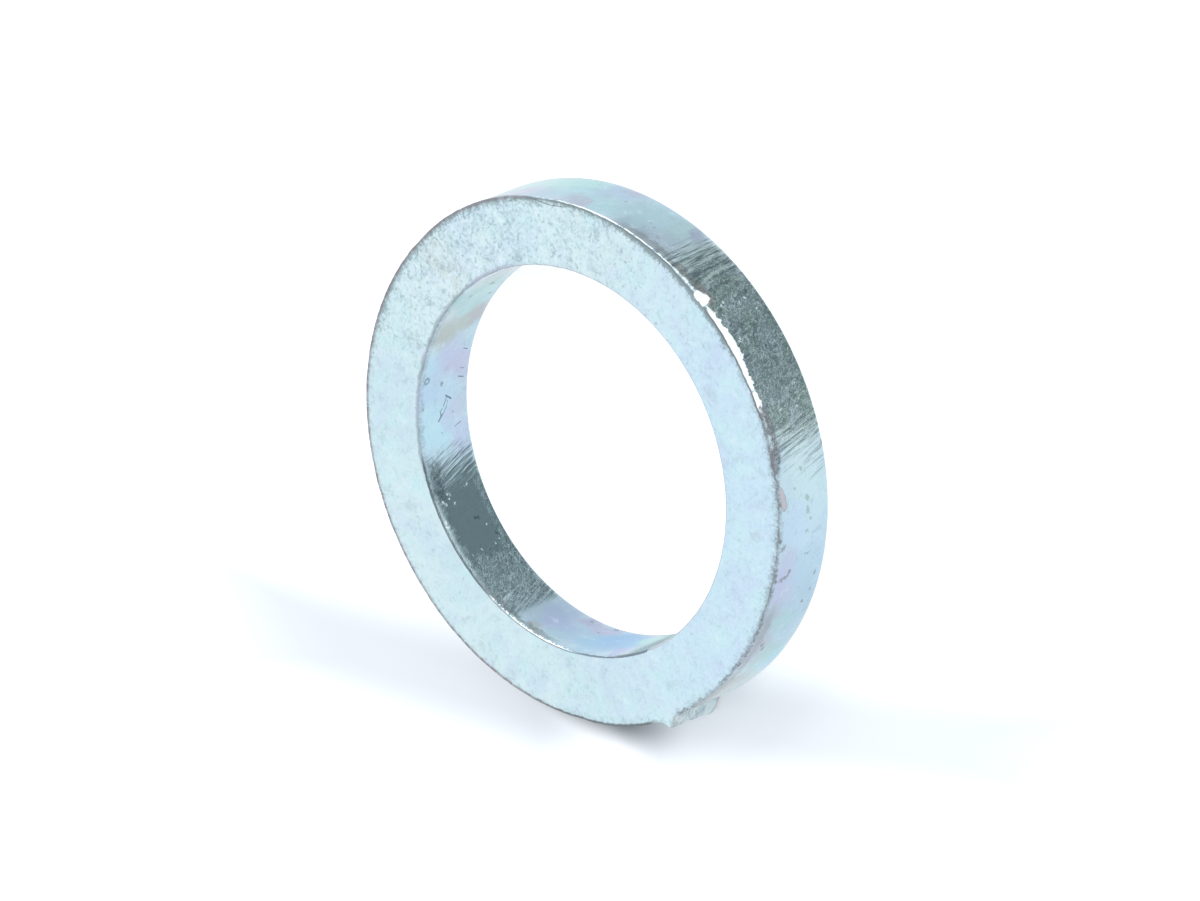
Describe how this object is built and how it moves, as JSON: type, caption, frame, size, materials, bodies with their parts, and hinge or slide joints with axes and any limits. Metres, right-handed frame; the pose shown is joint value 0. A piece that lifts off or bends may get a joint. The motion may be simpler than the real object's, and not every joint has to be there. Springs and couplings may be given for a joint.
{
  "type": "washer",
  "caption": "Plain thick round washer: a stamped, zinc-plated steel ring with a large bore, used as a spacer or to spread a bolt's load.",
  "frame": {"origin": "centre of the bore on the back face, which the washer lies on", "axes": "+Z along the bore's axis, from the back face to the front face; +X and +Y lie in the back face, with the small tab on the rim about 63 degrees from +X towards -Y"},
  "size_m": [0.038, 0.038, 0.0051],
  "materials": {
    "zinc_plating": "blue-white zinc plating, matt and mottled on the faces, brighter on the rim and in the bore"
  },
  "bodies": {
    "root": {"washer": "zinc_plating"}
  },
  "joints": []
}
